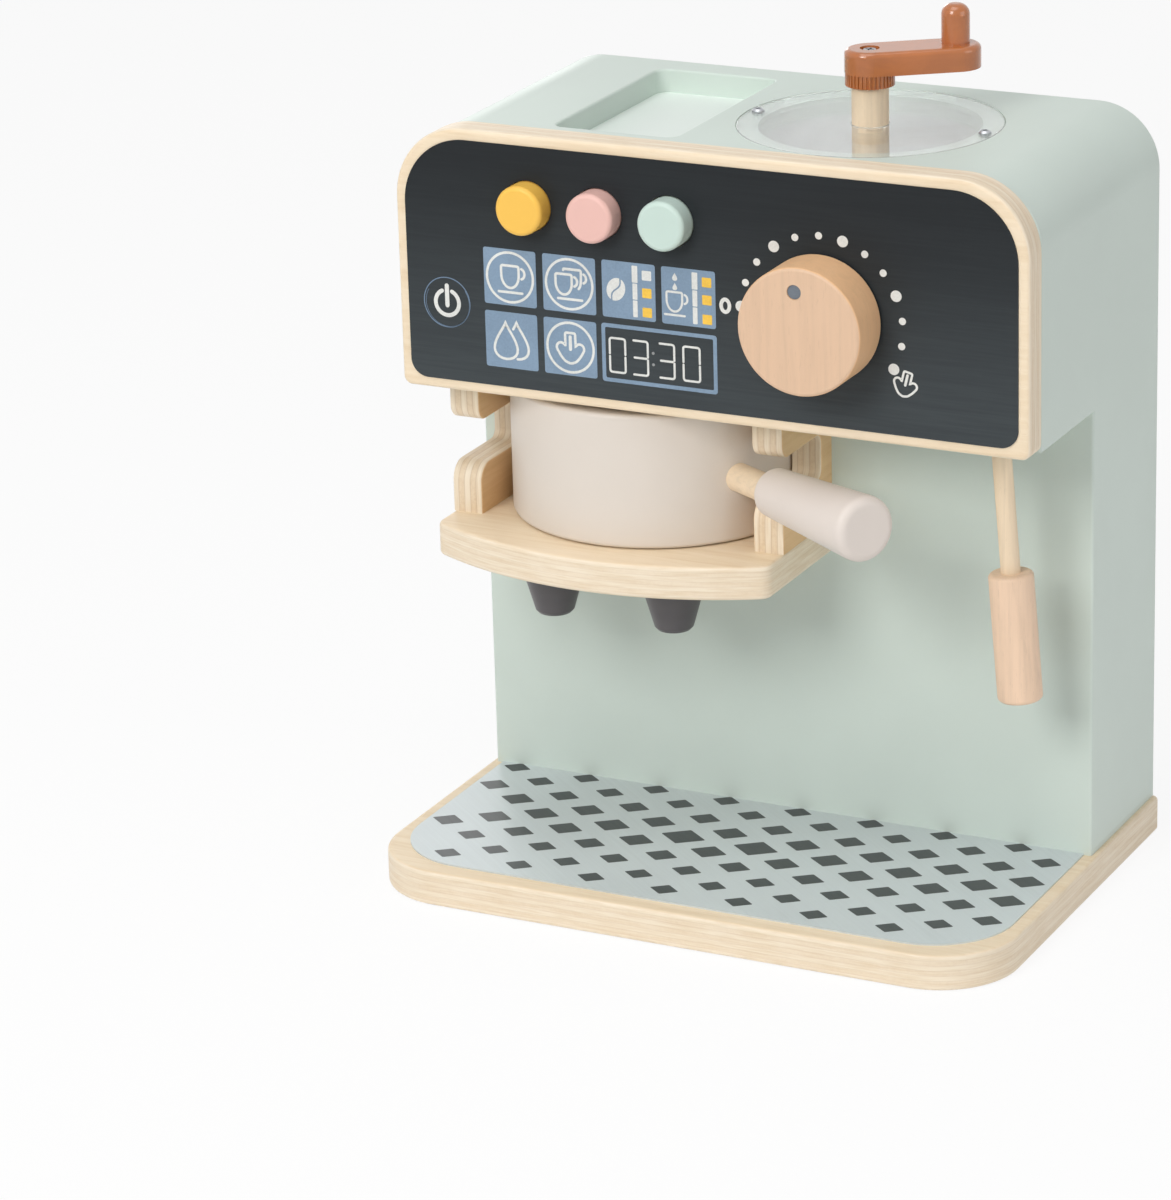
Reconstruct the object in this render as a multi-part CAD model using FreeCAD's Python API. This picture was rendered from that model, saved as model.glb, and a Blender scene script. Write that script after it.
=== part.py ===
import FreeCAD, Part
import math
import os

os.makedirs("parts", exist_ok=True)

# Sizes in millimetres: X to the right, Y to the back, Z up.
# While a piece is drawn, Y is measured from the front of the control panel.
# save() then moves it, so that the origin lies under the middle of the base.

# Housing
body_width = 220.0
body_back = 114.0
board = 8.0
column_front = 55.8
head_bottom = 165.7
body_top = 251.6
shoulder_radius = 21.0
soft_edge = 1.0

# Base and the printed drip sheet on it
base_width = 224.0
base_front = -40.0
base_thickness = 12.0
base_corner = 27.0
sheet_side_border = 4.6
sheet_front_border = 7.0
sheet_corner = 27.5
sheet_thickness = 0.5

# Control panel and its printed face
panel_thickness = 10.2
face_thickness = 0.4
panel_top = 254.0
panel_radius = 24.5
panel_border = 3.6
print_radius = 22.2

# Push buttons
button_centres = {"left": -62.0, "middle": -37.0, "right": -11.8}
button_height = 230.7
button_radius = 8.2
button_reach = 7.0
button_flange_radius = 10.0
button_flange_thickness = 3.0
button_clearance = 0.35
spring_wire = 0.3
spring_radius = 4.1
spring_turns = 4
rail_front = 21.0
rail_depth = 6.0

# Dial
dial_x = 40.3
dial_z = 205.0
dial_radius = 20.8
dial_front = -17.9
dial_gap = 0.6
spindle_radius = 5.0
pointer_turn = -5.0
pointer_distance = 13.0

# Hopper window and crank
crank_x = 30.8
crank_y = 61.6
well_radius = 36.0
well_floor = 226.0
window_radius = 43.0
window_thickness = 2.0
crank_shaft_radius = 6.0
crank_collar_bottom = 264.2
crank_arm_bottom = 268.4
crank_arm_top = 276.1
crank_arm_radius = 8.2
crank_reach = 27.9
crank_direction = 34.5
peg_radius = 4.6
peg_top = 289.0

# Cup rest sunk into the top
rest_left = -63.6
rest_right = -20.1
rest_front = 22.5
rest_back = 102.5

# Shelf, side brackets and spouts
shelf_left = -102.0
shelf_right = 18.4
shelf_bottom = 106.2
shelf_top = 117.6
shelf_corner_y = 5.0
shelf_front = -11.0
bracket_thickness = 10.7
bracket_front = 17.0
notch_bottom = 134.5
notch_top = 149.5
notch_back = 47.5
bracket_ease = 0.7
spout_y = 15.0
spout_centres = {"left": -64.2, "right": -20.5}
spout_bottom = 88.0

# Filter drum and its handle
drum_x = -41.8
drum_y = 50.5
drum_radius = 49.0
drum_bottom = 117.9
drum_top = 163.4
pod_radius = 23.0
pod_depth = 14.0
handle_direction = 57.5
handle_rise = 2.2
handle_height = 139.6
handle_radius = 4.75
grip_start = 69.0
grip_end = 123.5

# Steam wand
wand_x = 88.0
wand_y = 28.0
wand_pivot_z = 178.0
wand_lean = 4.5
wand_radius = 3.2
wand_grip_radius = 7.35
wand_grip_top = 60.0
wand_length = 103.0

half_width = body_width / 2
inner_width = half_width - board
base_middle = (base_front + body_back) / 2
floor_thickness = 6.0
floor_bottom = 166.0
floor_top = floor_bottom + floor_thickness
back_front = body_back - board
screw_radius = 1.5


def vec(x, y, z):
    return FreeCAD.Vector(x, y, z)


def box(x0, x1, y0, y1, z0, z1):
    return Part.makeBox(x1 - x0, y1 - y0, z1 - z0, vec(x0, y0, z0))


def rod(start, end, radius):
    run = end - start
    return Part.makeCylinder(radius, run.Length, start, run)


def cone_rod(start, end, start_radius, end_radius):
    run = end - start
    return Part.makeCone(start_radius, end_radius, run.Length, start, run)


def on_floor(z):
    return lambda u, v: vec(u, v, z)


def on_front(y):
    return lambda u, v: vec(u, y, v)


def on_side(x):
    return lambda u, v: vec(x, u, v)


def outline(corners, place):
    """A closed outline through (u, v, radius) corners, each rounded by its radius."""
    edges = []
    starts, ends, middles = [], [], []
    count = len(corners)
    for i, (u, v, radius) in enumerate(corners):
        before = corners[i - 1]
        after = corners[(i + 1) % count]
        corner = vec(u, v, 0)
        back = (vec(before[0], before[1], 0) - corner).normalize()
        ahead = (vec(after[0], after[1], 0) - corner).normalize()
        half = back.getAngle(ahead) / 2
        reach = radius / math.tan(half)
        towards = (back + ahead).normalize()
        starts.append(corner + back * reach)
        ends.append(corner + ahead * reach)
        middles.append(corner + towards * (radius / math.sin(half) - radius))
    for i in range(count):
        start = place(starts[i].x, starts[i].y)
        end = place(ends[i].x, ends[i].y)
        following = starts[(i + 1) % count]
        if corners[i][2] > 0:
            edges.append(Part.Arc(start, place(middles[i].x, middles[i].y), end).toShape())
        if (following - ends[i]).Length > 0.001:
            edges.append(Part.LineSegment(end, place(following.x, following.y)).toShape())
    return Part.Wire(edges)


def slab(corners, place, along):
    return Part.Face(outline(corners, place)).extrude(along)


def turned(points, base, axis):
    """A solid turned from (radius, height) points, standing on base along axis."""
    profile = Part.makePolygon([vec(r, 0, h) for r, h in points + points[:1]])
    solid = Part.Face(profile).revolve(vec(0, 0, 0), vec(0, 0, 1), 360)
    solid.Placement = FreeCAD.Placement(base, FreeCAD.Rotation(vec(0, 0, 1), axis))
    return solid


def rounded_edges(shape, radius, chosen):
    edges = [edge for edge in shape.Edges if chosen(edge)]
    return shape.makeFillet(radius, edges)


def at_height(z):
    return lambda edge: abs(edge.BoundBox.ZMin - z) < 0.01 and abs(edge.BoundBox.ZMax - z) < 0.01


def at_depth(y):
    return lambda edge: abs(edge.BoundBox.YMin - y) < 0.01 and abs(edge.BoundBox.YMax - y) < 0.01


def shoulder_corners(left, right, bottom, top, upper, lower):
    return [(left, bottom, lower), (right, bottom, lower), (right, top, upper), (left, top, upper)]


def pan_head(place, axis, head_radius, head_height):
    """A domed screw head with a cross recess, seated on place and rising along axis."""
    head = turned(
        [(0, 0), (head_radius, 0), (head_radius, head_height * 0.45), (head_radius * 0.7, head_height),
         (0, head_height)], place, axis)
    side = vec(1, 0, 0) if abs(axis.x) < 0.9 else vec(0, 1, 0)
    other = axis.cross(side).normalize()
    side = other.cross(axis).normalize()
    slot_top = place + axis * head_height
    for one, two in ((side, other), (other, side)):
        half_length = head_radius * 0.5
        half_slot = 0.35
        corners = [one * half_length + two * half_slot, one * -half_length + two * half_slot,
                   one * -half_length - two * half_slot, one * half_length - two * half_slot]
        ring = [slot_top + corner for corner in corners]
        face = Part.Face(Part.makePolygon(ring + ring[:1]))
        head = head.cut(face.extrude(axis * (-head_height * 0.5)))
    return head


def make_base():
    corners = [(-base_width / 2, base_front, base_corner), (base_width / 2, base_front, base_corner),
               (base_width / 2, body_back, 2.0), (-base_width / 2, body_back, 2.0)]
    base = slab(corners, on_floor(0), vec(0, 0, base_thickness))
    base = rounded_edges(base, 1.2, lambda e: at_height(base_thickness)(e) or at_height(0)(e))
    for x, y in base_screw_places():
        base = base.cut(rod(vec(x, y, -1), vec(x, y, base_thickness + 1), screw_radius))
        base = base.cut(cone_rod(vec(x, y, 0), vec(x, y, 2.6), 3.7, screw_radius))
    return base


def base_screw_places():
    side = half_width - board / 2
    front = column_front + board / 2
    back = body_back - board / 2
    places = [(x, y) for x in (-side, side) for y in (72.0, 98.0)]
    return places + [(x, y) for x in (-50.0, 50.0) for y in (front, back)]


def base_screw(x, y):
    head = cone_rod(vec(x, y, 0.1), vec(x, y, 2.6), 3.6, screw_radius)
    shank = rod(vec(x, y, 2.6), vec(x, y, base_thickness + 16), screw_radius)
    slots = box(x - 2.0, x + 2.0, y - 0.35, y + 0.35, 0, 1.3)
    slots = slots.fuse(box(x - 0.35, x + 0.35, y - 2.0, y + 2.0, 0, 1.3))
    return head.fuse(shank).cut(slots)


def pilot_holes(board_shape):
    for x, y in base_screw_places():
        hole = rod(vec(x, y, base_thickness - 1), vec(x, y, base_thickness + 16.5), screw_radius)
        board_shape = board_shape.cut(hole)
    return board_shape


def make_drip_sheet():
    side = base_width / 2 - sheet_side_border
    front = base_front + sheet_front_border
    corners = [(-side, front, sheet_corner), (side, front, sheet_corner), (side, column_front, 0),
               (-side, column_front, 0)]
    return slab(corners, on_floor(base_thickness), vec(0, 0, sheet_thickness))


def make_side(sign):
    corners = [(panel_thickness, head_bottom, 0), (column_front, head_bottom, 0),
               (column_front, base_thickness, 0), (body_back, base_thickness, 0),
               (body_back, body_top - shoulder_radius, 0), (panel_thickness, body_top - shoulder_radius, 0)]
    outer = sign * half_width
    side = slab(corners, on_side(outer), vec(-sign * board, 0, 0))

    def soft(edge):
        area = edge.BoundBox
        on_face = abs(area.XMin - outer) < 0.01 and abs(area.XMax - outer) < 0.01
        return on_face and area.YLength < 0.01

    side = rounded_edges(side, soft_edge, soft)
    return pilot_holes(side)


def make_shoulder(sign):
    """A quarter-round moulding between a side and the top."""
    centre_x = sign * (half_width - shoulder_radius)
    centre_z = body_top - shoulder_radius
    length = vec(0, body_back - panel_thickness, 0)
    start = vec(centre_x, panel_thickness, centre_z)
    ring = Part.makeCylinder(shoulder_radius, length.Length, start, length)
    ring = ring.cut(Part.makeCylinder(shoulder_radius - board, length.Length, start, length))
    reach = shoulder_radius + 1
    x0, x1 = sorted((centre_x, centre_x + sign * reach))
    moulding = ring.common(box(x0, x1, panel_thickness, body_back, centre_z, centre_z + reach))

    def outer_arc(edge):
        area = edge.BoundBox
        return area.YLength < 0.01 and area.XLength > shoulder_radius - 1

    return rounded_edges(moulding, soft_edge, outer_arc)


def make_top():
    top = box(shoulder_radius - half_width, half_width - shoulder_radius, panel_thickness, body_back,
              body_top - board, body_top)
    rest = slab([(rest_left, rest_front, 4.0), (rest_right, rest_front, 4.0), (rest_right, rest_back, 4.0),
                 (rest_left, rest_back, 4.0)], on_floor(body_top - board - 1), vec(0, 0, board + 2))
    well = rod(vec(crank_x, crank_y, body_top - board - 1), vec(crank_x, crank_y, body_top + 1), well_radius)
    rebate = rod(vec(crank_x, crank_y, body_top - window_thickness - 0.1),
                 vec(crank_x, crank_y, body_top + 1), window_radius + 0.3)
    ends = lambda e: at_height(body_top)(e) and e.BoundBox.YLength < 0.01
    top = rounded_edges(top, soft_edge, ends).cut(rest)
    top = rounded_edges(top, 0.8, lambda e: at_height(body_top)(e) and around_rest(e))
    top = top.cut(well).cut(rebate)
    for x, y in window_screw_places():
        top = top.cut(rod(vec(x, y, body_top - board - 1), vec(x, y, body_top), 1.2))
    return top


def around_rest(edge):
    area = edge.BoundBox
    return (area.XMin > rest_left - 1 and area.XMax < rest_right + 1
            and area.YMin > rest_front - 1 and area.YMax < rest_back + 1)


def make_rest_floor():
    return box(rest_left - 8, rest_right + 5, rest_front - 6, back_front, body_top - board - 4,
               body_top - board)


def make_back():
    corners = shoulder_corners(-inner_width, inner_width, base_thickness, body_top - board,
                               shoulder_radius - board, 0)
    back = slab(corners, on_front(back_front), vec(0, board, 0))
    return pilot_holes(back)


def make_column_front():
    corners = [(-inner_width, base_thickness, 0), (inner_width, base_thickness, 0),
               (inner_width, floor_bottom, 0), (shelf_right, floor_bottom, 0),
               (shelf_right, shelf_bottom, 0), (-inner_width, shelf_bottom, 0)]
    wall = slab(corners, on_front(column_front), vec(0, board, 0))
    return pilot_holes(wall)


def make_head_floor():
    floor = box(-inner_width, inner_width, panel_thickness, back_front, floor_bottom, floor_top)
    slot = slab([(wand_x - 10, wand_y - 4, 3.9), (wand_x + 10, wand_y - 4, 3.9), (wand_x + 10, wand_y + 4, 3.9),
                 (wand_x - 10, wand_y + 4, 3.9)], on_floor(floor_bottom - 1), vec(0, 0, floor_thickness + 2))
    return floor.cut(slot)


def make_panel():
    corners = shoulder_corners(-half_width, half_width, head_bottom, panel_top, panel_radius, 3.0)
    panel = slab(corners, on_front(face_thickness), vec(0, panel_thickness - face_thickness, 0))
    panel = rounded_edges(panel, 1.4, at_depth(face_thickness))
    return cut_panel_holes(panel)


def make_panel_face():
    border = panel_border
    corners = shoulder_corners(-half_width + border, half_width - border, head_bottom + border,
                               panel_top - border, print_radius, 6.0)
    return cut_panel_holes(slab(corners, on_front(0), vec(0, face_thickness, 0)))


def cut_panel_holes(shape):
    for x in button_centres.values():
        hole = rod(vec(x, -1, button_height), vec(x, panel_thickness + 1, button_height),
                   button_radius + button_clearance)
        shape = shape.cut(hole)
    return shape.cut(rod(vec(dial_x, -1, dial_z), vec(dial_x, panel_thickness + 1, dial_z),
                         spindle_radius + 0.1))


def make_button(x):
    flange_front = panel_thickness + 0.1
    start = vec(x, -button_reach, button_height)
    cap = rod(start, vec(x, flange_front, button_height), button_radius)
    cap = rounded_edges(cap, 1.6, at_depth(-button_reach))
    flange_back = flange_front + button_flange_thickness
    flange = rod(vec(x, flange_front, button_height), vec(x, flange_back, button_height),
                 button_flange_radius)
    spigot = rod(vec(x, flange_back, button_height), vec(x, flange_back + 2, button_height), 3.2)
    return cap.fuse(flange).fuse(spigot).removeSplitter()


def make_button_spring(x):
    """A coil of quarter-turn arcs between the button's flange and the rail."""
    start = panel_thickness + button_flange_thickness + 0.15 + spring_wire
    length = rail_front - spring_wire - 0.05 - start
    steps = spring_turns * 8

    def point(i):
        turn = math.pi * i / 4
        return vec(spring_radius * math.cos(turn), spring_radius * math.sin(turn), length * i / steps)

    arcs = [Part.Arc(point(i), point(i + 1), point(i + 2)).toShape() for i in range(0, steps, 2)]
    section = Part.Wire([Part.Circle(point(0), vec(0, 1, 0), spring_wire).toShape()])
    spring = Part.Wire(arcs).makePipeShell([section], True, False)
    spring.Placement = FreeCAD.Placement(vec(x, start, button_height),
                                         FreeCAD.Rotation(vec(0, 0, 1), vec(0, 1, 0)))
    return spring


def make_spring_rail():
    """A batten behind the buttons, on two legs that are glued to the panel."""
    middle = button_centres["middle"]
    left, right = middle - 41.0, middle + 41.0
    low, high = button_height - 7, button_height + 7
    rail_back = rail_front + rail_depth
    corners = [(left, panel_thickness, 0), (left + 4, panel_thickness, 0), (left + 4, rail_front, 1.5),
               (right - 4, rail_front, 1.5), (right - 4, panel_thickness, 0), (right, panel_thickness, 0),
               (right, rail_back, 1.5), (left, rail_back, 1.5)]
    return slab(corners, on_floor(low), vec(0, 0, high - low))


def make_dial_knob():
    back = -dial_gap
    knob = rod(vec(dial_x, dial_front, dial_z), vec(dial_x, back, dial_z), dial_radius)
    knob = rounded_edges(knob, 1.2, at_depth(dial_front))
    knob = rounded_edges(knob, 1.0, at_depth(back))
    turn = math.radians(pointer_turn)
    dimple_x = dial_x + pointer_distance * math.sin(turn)
    dimple_z = dial_z + pointer_distance * math.cos(turn)
    dimple = rod(vec(dimple_x, dial_front - 1, dimple_z), vec(dimple_x, dial_front + 0.5, dimple_z), 2.4)
    socket = rod(vec(dial_x, -12, dial_z), vec(dial_x, 0, dial_z), spindle_radius)
    return knob.cut(dimple).cut(socket)


def make_dial_spindle():
    end = panel_thickness + 0.3
    spindle = rod(vec(dial_x, -12, dial_z), vec(dial_x, end, dial_z), spindle_radius)
    return spindle.cut(rod(vec(dial_x, -4, dial_z), vec(dial_x, end + 1, dial_z), screw_radius))


def make_dial_washer():
    start = panel_thickness + 0.3
    washer = rod(vec(dial_x, start, dial_z), vec(dial_x, start + 1.5, dial_z), 9.0)
    return washer.cut(rod(vec(dial_x, start - 1, dial_z), vec(dial_x, start + 3, dial_z), screw_radius + 0.2))


def make_dial_screw():
    seat = panel_thickness + 1.8
    head = pan_head(vec(dial_x, seat, dial_z), vec(0, 1, 0), 3.4, 2.2)
    return head.fuse(rod(vec(dial_x, -3.8, dial_z), vec(dial_x, seat, dial_z), screw_radius))


def window_screw_places():
    offset = well_radius + (window_radius - well_radius) / 2
    return [(crank_x - offset, crank_y), (crank_x + offset, crank_y)]


def make_window():
    low = body_top - window_thickness
    window = rod(vec(crank_x, crank_y, low), vec(crank_x, crank_y, body_top), window_radius)
    window = rounded_edges(window, 0.3, at_height(body_top))
    window = window.cut(rod(vec(crank_x, crank_y, low - 1), vec(crank_x, crank_y, body_top + 1),
                            crank_shaft_radius + 0.3))
    for x, y in window_screw_places():
        window = window.cut(rod(vec(x, y, low - 1), vec(x, y, body_top + 1), 1.4))
    return window


def make_window_screw(x, y):
    head = pan_head(vec(x, y, body_top), vec(0, 0, 1), 2.1, 1.1)
    return head.fuse(rod(vec(x, y, body_top - 7), vec(x, y, body_top), 1.2))


def make_hopper_cup():
    outer = well_radius + 3
    rim = body_top - board
    bore = 4.1
    low = well_floor - 4
    return turned([(bore, low), (outer, low), (outer, rim - 2), (outer + 4, rim - 2), (outer + 4, rim),
                   (well_radius, rim), (well_radius, well_floor), (bore, well_floor)],
                  vec(crank_x, crank_y, 0), vec(0, 0, 1))


def make_crank_shaft():
    """A dowel with a turned-down foot that runs in the floor of the hopper cup."""
    shoulder = well_floor + 0.1
    foot = well_floor - 4.3
    shaft = turned([(0, foot), (4.0, foot), (4.0, shoulder), (crank_shaft_radius, shoulder),
                    (crank_shaft_radius, crank_arm_bottom + 3), (0, crank_arm_bottom + 3)],
                   vec(crank_x, crank_y, 0), vec(0, 0, 1))
    low_pilot = rod(vec(crank_x, crank_y, foot - 1), vec(crank_x, crank_y, foot + 12), screw_radius)
    high_pilot = rod(vec(crank_x, crank_y, crank_arm_bottom - 9),
                     vec(crank_x, crank_y, crank_arm_bottom + 4), screw_radius)
    return shaft.cut(low_pilot).cut(high_pilot)


def make_crank_washer():
    top = well_floor - 4.3
    washer = rod(vec(crank_x, crank_y, top - 1.5), vec(crank_x, crank_y, top), 9.0)
    return washer.cut(rod(vec(crank_x, crank_y, top - 3), vec(crank_x, crank_y, top + 1), screw_radius + 0.2))


def make_crank_foot_screw():
    seat = well_floor - 5.8
    head = pan_head(vec(crank_x, crank_y, seat), vec(0, 0, -1), 3.4, 2.2)
    return head.fuse(rod(vec(crank_x, crank_y, seat), vec(crank_x, crank_y, seat + 12), screw_radius))


def peg_place():
    turn = math.radians(crank_direction)
    return crank_x + crank_reach * math.cos(turn), crank_y + crank_reach * math.sin(turn)


def make_crank_arm():
    """The moulded arm: a long rounded bar over a ribbed collar that takes the dowel."""
    hub = vec(crank_x, crank_y, crank_arm_bottom)
    tip_x, tip_y = peg_place()
    height = crank_arm_top - crank_arm_bottom
    tip = vec(tip_x, tip_y, crank_arm_bottom)
    across = (tip - hub).cross(vec(0, 0, 1)).normalize() * crank_arm_radius
    ring = [hub + across, hub - across, tip - across, tip + across]
    bar = Part.Face(Part.makePolygon(ring + ring[:1])).extrude(vec(0, 0, height))
    bar = bar.fuse(Part.makeCylinder(crank_arm_radius, height, hub))
    bar = bar.fuse(Part.makeCylinder(crank_arm_radius, height, tip)).removeSplitter()
    bar = rounded_edges(bar, 1.8, at_height(crank_arm_top))
    collar_base = vec(crank_x, crank_y, crank_collar_bottom)
    collar_height = crank_arm_bottom - crank_collar_bottom
    ribs = 36
    rim = []
    for i in range(ribs):
        for part, radius in ((0.0, 8.0), (0.5, 8.0), (0.6, 7.6), (0.9, 7.6)):
            turn = 2 * math.pi * (i + part) / ribs
            rim.append(collar_base + vec(radius * math.cos(turn), radius * math.sin(turn), 0))
    collar = Part.Face(Part.makePolygon(rim + rim[:1])).extrude(vec(0, 0, collar_height))
    arm = bar.fuse(collar)
    socket = Part.makeCylinder(crank_shaft_radius, collar_height + 3, collar_base)
    sink = Part.makeCylinder(3.2, 3, vec(crank_x, crank_y, crank_arm_top - 2.2))
    screw_hole = Part.makeCylinder(screw_radius, height, hub)
    peg_hole = Part.makeCylinder(2.0, 5, vec(tip_x, tip_y, crank_arm_top - 5))
    return arm.cut(socket).cut(sink).cut(screw_hole).cut(peg_hole)


def make_crank_screw():
    seat = crank_arm_top - 2.2
    head = pan_head(vec(crank_x, crank_y, seat), vec(0, 0, 1), 2.9, 1.8)
    return head.fuse(rod(vec(crank_x, crank_y, crank_arm_bottom - 8), vec(crank_x, crank_y, seat), screw_radius))


def make_crank_peg():
    tip_x, tip_y = peg_place()
    base = vec(tip_x, tip_y, crank_arm_top)
    peg = Part.makeCylinder(peg_radius, peg_top - crank_arm_top, base)
    peg = rounded_edges(peg, 3.6, at_height(peg_top))
    return peg.fuse(Part.makeCylinder(2.0, 5, vec(tip_x, tip_y, crank_arm_top - 5)))


def make_shelf():
    low = on_floor(shelf_bottom)
    middle = (shelf_left + shelf_right) / 2
    front = Part.Arc(low(shelf_left, shelf_corner_y), low(middle, shelf_front),
                     low(shelf_right, shelf_corner_y)).toShape()
    right = Part.LineSegment(low(shelf_right, shelf_corner_y), low(shelf_right, back_front)).toShape()
    back = Part.LineSegment(low(shelf_right, back_front), low(shelf_left, back_front)).toShape()
    left = Part.LineSegment(low(shelf_left, back_front), low(shelf_left, shelf_corner_y)).toShape()
    shelf = Part.Face(Part.Wire([front, right, back, left])).extrude(vec(0, 0, shelf_top - shelf_bottom))

    def front_corner(edge):
        area = edge.BoundBox
        return area.ZLength > 5 and abs(area.YMin - shelf_corner_y) < 0.1 and area.YLength < 0.1

    shelf = rounded_edges(shelf, 5.0, front_corner)

    def front_rim(edge):
        flat = at_height(shelf_top)(edge) or at_height(shelf_bottom)(edge)
        return flat and edge.BoundBox.YMin < column_front

    return rounded_edges(shelf, 1.4, front_rim)


def make_bracket(left):
    corners = [(bracket_front, shelf_top, 0), (back_front, shelf_top, 0), (back_front, floor_bottom, 0),
               (bracket_front, floor_bottom, 0), (bracket_front, notch_top, 5.0), (notch_back, notch_top, 3.0),
               (notch_back, notch_bottom, 3.0), (bracket_front, notch_bottom, 6.5)]
    bracket = slab(corners, on_side(left), vec(bracket_thickness, 0, 0))

    def open_edge(edge):
        area = edge.BoundBox
        joined = area.YMin > column_front or area.ZMax < shelf_top + 0.1 or area.ZMin > floor_bottom - 0.1
        return area.XLength < 0.01 and not joined

    return rounded_edges(bracket, bracket_ease, open_edge)


def make_spout(x):
    tall = shelf_bottom - spout_bottom
    return turned([(2.0, 6), (2.0, 0), (5.6, 0), (6.5, 1.0), (9.2, 10.5), (11.2, tall - 1.5), (11.2, tall),
                   (0, tall), (0, 6)], vec(x, spout_y, spout_bottom), vec(0, 0, 1))


def handle_axis():
    turn = math.radians(handle_direction)
    rise = math.radians(handle_rise)
    return vec(math.sin(turn) * math.cos(rise), -math.cos(turn) * math.cos(rise), math.sin(rise))


def along_handle(distance):
    """The point of the handle's middle line at a distance from the drum's axis."""
    rise = math.tan(math.radians(handle_rise))
    flat = vec(handle_axis().x, handle_axis().y, 0).normalize()
    return vec(drum_x, drum_y, handle_height + (distance - drum_radius) * rise) + flat * distance


def make_drum():
    height = drum_top - drum_bottom
    drum = Part.makeCylinder(drum_radius, height, vec(drum_x, drum_y, drum_bottom))
    drum = rounded_edges(drum, 1.5, lambda e: at_height(drum_top)(e) or at_height(drum_bottom)(e))
    pod = Part.makeCylinder(pod_radius, pod_depth + 1, vec(drum_x, drum_y, drum_top - pod_depth))
    hole = rod(along_handle(32.0), along_handle(drum_radius + 5), handle_radius)
    return drum.cut(pod).cut(hole)


def make_handle():
    return rod(along_handle(32.0), along_handle(grip_start + 22), handle_radius)


def make_grip():
    start = along_handle(grip_start)
    length = grip_end - grip_start
    profile = outline([(0, 0, 0), (8.0, 0, 2.6), (10.7, length - 4, 0), (10.6, length, 3.0), (0, length, 0)],
                      lambda r, h: vec(r, 0, h))
    grip = Part.Face(profile).revolve(vec(0, 0, 0), vec(0, 0, 1), 360)
    grip.Placement = FreeCAD.Placement(start, FreeCAD.Rotation(vec(0, 0, 1), handle_axis()))
    return grip.cut(rod(along_handle(grip_start - 2), along_handle(grip_start + 22), handle_radius))


def along_wand(distance):
    lean = math.radians(wand_lean)
    return vec(wand_x + distance * math.sin(lean), wand_y, wand_pivot_z - distance * math.cos(lean))


def make_wand():
    top = along_wand(-4.5)
    wand = rod(top, along_wand(wand_grip_top + 16), wand_radius)
    pin = rod(vec(wand_x, 0, wand_pivot_z), vec(wand_x, 50, wand_pivot_z), 1.55)
    return wand.cut(pin)


def make_wand_grip():
    length = wand_length - wand_grip_top
    profile = outline([(0, 0, 0), (wand_grip_radius, 0, 1.5), (wand_grip_radius, length, 1.5), (0, length, 0)],
                      lambda r, h: vec(r, 0, h))
    grip = Part.Face(profile).revolve(vec(0, 0, 0), vec(0, 0, 1), 360)
    down = along_wand(1) - along_wand(0)
    grip.Placement = FreeCAD.Placement(along_wand(wand_grip_top), FreeCAD.Rotation(vec(0, 0, 1), down))
    return grip.cut(rod(along_wand(wand_grip_top - 2), along_wand(wand_grip_top + 16), wand_radius))


def make_wand_block():
    """A fork on the head floor, whose two cheeks carry the wand's pin."""
    block = box(wand_x - 9, wand_x + 9, wand_y - 12, wand_y + 12, floor_top, wand_pivot_z + 9)
    slot = box(wand_x - 10, wand_x + 10, wand_y - wand_radius - 0.4, wand_y + wand_radius + 0.4,
               floor_top - 1, wand_pivot_z + 5.5)
    return block.cut(slot).cut(make_wand_pin())


def make_wand_pin():
    return rod(vec(wand_x, wand_y - 11, wand_pivot_z), vec(wand_x, wand_y + 11, wand_pivot_z), screw_radius)


def save(name, shape):
    moved = shape.copy()
    moved.translate(vec(0, -base_middle, 0))
    moved.exportStep("parts/" + name + ".step")
    size = moved.BoundBox
    print(name, moved.isValid(), len(moved.Solids), round(moved.Volume / 1000, 2), "cm3",
          [round(value, 1) for value in (size.XMin, size.XMax, size.YMin, size.YMax, size.ZMin, size.ZMax)])


def group(shapes):
    return Part.makeCompound(shapes)


save("base_board", make_base())
save("drip_sheet", make_drip_sheet())
save("base_screws", group([base_screw(x, y) for x, y in base_screw_places()]))
save("side_left", make_side(-1))
save("side_right", make_side(1))
save("shoulder_left", make_shoulder(-1))
save("shoulder_right", make_shoulder(1))
save("top_board", make_top())
save("cup_rest_floor", make_rest_floor())
save("back_board", make_back())
save("column_front", make_column_front())
save("head_floor", make_head_floor())
save("front_panel", make_panel())
save("panel_face", make_panel_face())
save("spring_rail", make_spring_rail())
for button_name, button_x in button_centres.items():
    save("button_" + button_name, make_button(button_x))
    save("button_spring_" + button_name, make_button_spring(button_x))
save("dial_knob", make_dial_knob())
save("dial_spindle", make_dial_spindle())
save("dial_washer", make_dial_washer())
save("dial_screw", make_dial_screw())
save("hopper_cup", make_hopper_cup())
save("hopper_window", make_window())
save("window_screws", group([make_window_screw(x, y) for x, y in window_screw_places()]))
save("crank_shaft", make_crank_shaft())
save("crank_washer", make_crank_washer())
save("crank_foot_screw", make_crank_foot_screw())
save("crank_arm", make_crank_arm())
save("crank_screw", make_crank_screw())
save("crank_peg", make_crank_peg())
save("shelf", make_shelf())
save("bracket_left", make_bracket(shelf_left))
save("bracket_right", make_bracket(shelf_right - bracket_thickness))
for spout_name, spout_x in spout_centres.items():
    save("spout_" + spout_name, make_spout(spout_x))
save("filter_drum", make_drum())
save("filter_handle", make_handle())
save("filter_grip", make_grip())
save("wand_block", make_wand_block())
save("wand_pin", make_wand_pin())
save("wand_rod", make_wand())
save("wand_grip", make_wand_grip())
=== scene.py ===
import bpy
import bmesh
import math
from mathutils import Matrix, Vector


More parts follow.
